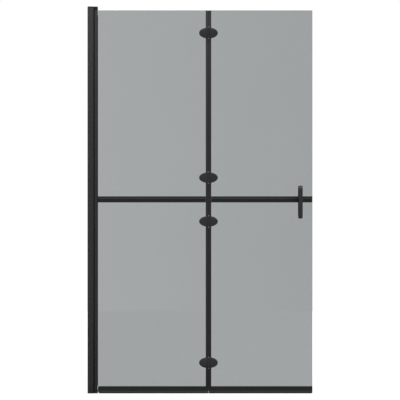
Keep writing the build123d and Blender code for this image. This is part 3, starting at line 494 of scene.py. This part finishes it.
def mid_section(pocket):
    bead = arc(3.51, 954.3, 5.99, 62.2, -62.2, 6)
    return rounded(both_sides(
        [(pocket, 954.2, 0), (pocket, 967.7, 0.4), (5.65, 967.7, 0.45), (6.3, 959.6, 0.6)]
        + bead[1:-1]
        + [(6.3, 949.0, 0.6), (5.65, 937.7, 0.45), (pocket, 937.7, 0.4), (pocket, 951.2, 0)]
    ))


def low_section(pocket, floor, slot):
    cove = []
    for a, b, c, d in (
        ((6.3, 33.4), (6.33, 28.5), (6.42, 24.0), (6.55, 19.5)),
        ((6.55, 19.5), (6.65, 16.5), (6.85, 13.8), (7.4, 11.6)),
        ((7.4, 11.6), (7.9, 9.6), (9.0, 7.5), (10.2, 6.6)),
    ):
        run = interpolate_bezier(*(Vector((*p, 0)) for p in (a, b, c, d)), 9)
        cove += [(p.x, p.y, 0) for p in run[1:]]
    foot = [(10.55, 6.2, 0.3), (10.5, 4.1, 0.4), (9.4, 4.1, 0.4), (9.4, 5.5, 0.3), (8.0, 8.0, 0.3)]
    if slot:
        foot += [(2.0, 8.0, 0.2), (2.0, 9.1, 0), (3.4, 9.1, 0), (3.4, 10.9, 0)]
    return rounded(both_sides(
        [(pocket, floor, 0), (pocket, 33.8, 0.5), (6.3, 33.8, 0.5)] + cove + foot
    ))


def taper(start):
    """Points of a rail's end drawn in to 45 degrees towards the post."""
    def move(u, v, t):
        limit = start + max(0.0, t - 51.0)
        if abs(u) <= limit:
            return u, v
        return (limit if u > 0 else -limit), max(v, 8.0)
    return move


def tapered(end):
    return [(51.0, 0.25), (51.1, 0.1), (51.25, 0)] + [
        (51.25 + 0.25 * i, 0) for i in range(1, 16)
    ] + [(end - 0.2, 0), (end, 0.2)]


profile("middle_rail_inner", [mid_section(4.2)], tapered(FOLD - 13.9), False,
        "inner_leaf", "mid_rail_inner", "black_profile_x_painted_shade", taper(6.35))
profile("middle_rail_outer", [mid_section(4.2)], ends(FOLD + 13.9, WIDTH - 5.0, 0.15), False,
        "outer_leaf", "mid_rail_outer", "black_profile_x_painted_shade")
profile("middle_rail_cap", [mid_section(3.1)],
        [(WIDTH - 5.0, 0.1), (WIDTH - 4.9, 0), (WIDTH - 0.7, 0), (WIDTH - 0.35, 0.1),
         (WIDTH - 0.12, 0.35), (WIDTH, 0.7)], False,
        "outer_leaf", "mid_rail_end_cap", "black_plastic")
profile("lower_rail_inner", [low_section(4.2, 12.4, True)], tapered(FOLD - 0.3), False,
        "inner_leaf", "bottom_rail_inner", "black_profile_x_painted_shade", taper(6.7))
profile("lower_rail_outer", [low_section(4.2, 12.4, True)], ends(FOLD + 0.3, WIDTH - 2.0, 0.15),
        False, "outer_leaf", "bottom_rail_outer", "black_profile_x_painted_shade")
profile("lower_rail_cap", [low_section(3.1, 13.9, False)],
        [(WIDTH - 2.0, 0.1), (WIDTH - 1.9, 0), (WIDTH - 0.6, 0), (WIDTH - 0.3, 0.1),
         (WIDTH - 0.1, 0.3), (WIDTH, 0.6)], False,
        "outer_leaf", "bottom_rail_end_cap", "black_plastic")

# ------------------------------------------------------------------ stage
# Pale floor
floor_mesh = bpy.data.meshes.new("floor")
floor_mesh.from_pydata(
    [(-5.5, -6.5, -0.0015), (6.6, -6.5, -0.0015), (6.6, 6.5, -0.0015), (-5.5, 6.5, -0.0015)], [], [(0, 1, 2, 3)]
)
floor = bpy.data.objects.new("floor", floor_mesh)
scene.collection.objects.link(floor)


def seen(tree):
    """1 for rays that show the stage directly or through glass, 0 for rays that light things."""
    path = tree.nodes.new("ShaderNodeLightPath")
    n = tree.nodes.new("ShaderNodeMath")
    n.operation = "MAXIMUM"
    tree.links.new(path.outputs["Is Camera Ray"], n.inputs[0])
    tree.links.new(path.outputs["Is Transmission Ray"], n.inputs[1])
    return n.outputs[0]


paper = bpy.data.materials.new("floor")
paper.use_nodes = True
t = paper.node_tree
t.nodes.clear()
out = t.nodes.new("ShaderNodeOutputMaterial")
# seen directly: near white, with a faint contact shadow
diffuse = t.nodes.new("ShaderNodeBsdfDiffuse")
diffuse.inputs["Color"].default_value = (0.3, 0.3, 0.3, 1)
glow = t.nodes.new("ShaderNodeEmission")
glow.inputs["Strength"].default_value = 0.80
both = t.nodes.new("ShaderNodeAddShader")
t.links.new(diffuse.outputs[0], both.inputs[0])
t.links.new(glow.outputs[0], both.inputs[1])
# seen through glass: pale, a little lighter close behind
place = t.nodes.new("ShaderNodeTexCoord")
parts = t.nodes.new("ShaderNodeSeparateXYZ")
t.links.new(place.outputs["Object"], parts.inputs[0])
depth = t.nodes.new("ShaderNodeMapRange")
t.links.new(parts.outputs["Y"], depth.inputs[0])
for i, v in enumerate((0.5, 4.5, 0.99, 0.985), start=1):
    depth.inputs[i].default_value = v
behind = t.nodes.new("ShaderNodeEmission")
t.links.new(depth.outputs[0], behind.inputs["Strength"])
# what lights the object
pale = t.nodes.new("ShaderNodeBsdfDiffuse")
pale.inputs["Color"].default_value = (0.42, 0.42, 0.42, 1)
path = t.nodes.new("ShaderNodeLightPath")
pick = t.nodes.new("ShaderNodeMixShader")
t.links.new(path.outputs["Is Transmission Ray"], pick.inputs[0])
t.links.new(pale.outputs[0], pick.inputs[1])
t.links.new(behind.outputs[0], pick.inputs[2])
direct = t.nodes.new("ShaderNodeMixShader")
t.links.new(path.outputs["Is Camera Ray"], direct.inputs[0])
t.links.new(pick.outputs[0], direct.inputs[1])
t.links.new(both.outputs[0], direct.inputs[2])
t.links.new(direct.outputs[0], out.inputs["Surface"])
floor_mesh.materials.append(paper)

# Even white surround. For lighting it is brightest overhead, and towards the
# front a little brighter on the left
world = bpy.data.worlds.new("studio")
scene.world = world
world.use_nodes = True
t = world.node_tree
t.nodes.clear()
out = t.nodes.new("ShaderNodeOutputWorld")
back = t.nodes.new("ShaderNodeBackground")
coord = t.nodes.new("ShaderNodeTexCoord")
split = t.nodes.new("ShaderNodeSeparateXYZ")
t.links.new(coord.outputs["Generated"], split.inputs[0])


def world_ramp(axis, scale, stops):
    """A ramp over one component of the direction, from (direction, tone) stops."""
    place = t.nodes.new("ShaderNodeMath")
    place.operation = "MULTIPLY_ADD"
    t.links.new(split.outputs[axis], place.inputs[0])
    place.inputs[1].default_value = scale
    place.inputs[2].default_value = 0.5
    ramp = t.nodes.new("ShaderNodeValToRGB")
    t.links.new(place.outputs[0], ramp.inputs[0])
    elements = ramp.color_ramp.elements
    elements[0].position, elements[1].position = 0.0, 1.0
    elements[0].color, elements[1].color = grey(stops[0][1]), grey(stops[-1][1])
    for direction, tone in stops[1:-1]:
        elements.new(direction * scale + 0.5).color = grey(tone)
    return ramp.outputs[0]


height = world_ramp("Z", 0.5, [(-1, 0.34), (-0.2, 0.50), (0.1, 0.46), (0.3, 0.42),
                               (0.6, 0.9), (1, 2.6)])
sideways = world_ramp("X", 2.0, [(-0.25, 1.0), (-0.08, 1.45), (0.08, 0.55), (0.25, 1.0)])
lit = t.nodes.new("ShaderNodeVectorMath")
lit.operation = "MULTIPLY"
t.links.new(height, lit.inputs[0])
t.links.new(sideways, lit.inputs[1])
white = t.nodes.new("ShaderNodeMix")
white.data_type = "RGBA"
t.links.new(seen(t), white.inputs[0])
t.links.new(lit.outputs[0], white.inputs[6])
# plain white behind the object; through the glass it falls off a little to the right
fall = t.nodes.new("ShaderNodeMapRange")
t.links.new(split.outputs["X"], fall.inputs[0])
for i, v in enumerate((-0.06, 0.06, 1.045, 0.99), start=1):
    fall.inputs[i].default_value = v
direct = t.nodes.new("ShaderNodeMix")
direct.data_type = "RGBA"
t.links.new(t.nodes.new("ShaderNodeLightPath").outputs["Is Camera Ray"], direct.inputs[0])
t.links.new(fall.outputs[0], direct.inputs[6])
direct.inputs[7].default_value = (1.0, 1.0, 1.0, 1)
t.links.new(direct.outputs[2], white.inputs[7])
t.links.new(white.outputs[2], back.inputs["Color"])
back.inputs["Strength"].default_value = 1.0
t.links.new(back.outputs[0], out.inputs["Surface"])


def soft_light(name, place, target, size, power):
    data = bpy.data.lights.new(name, "AREA")
    data.shape = "RECTANGLE"
    data.size, data.size_y = size
    data.energy = power
    obj = bpy.data.objects.new(name, data)
    obj.location = place
    aim = bpy.data.objects.new(name + "_aim", None)
    aim.location = target
    direction = aim.location - obj.location
    obj.rotation_euler = direction.to_track_quat("-Z", "Y").to_euler()
    bpy.data.objects.remove(aim)
    obj.visible_camera = False
    obj.visible_transmission = False
    scene.collection.objects.link(obj)
    return obj


soft_light("key", (-9.0, -11.0, 5.5), (0.55, 0, 0.95), (6.0, 6.0), 100)
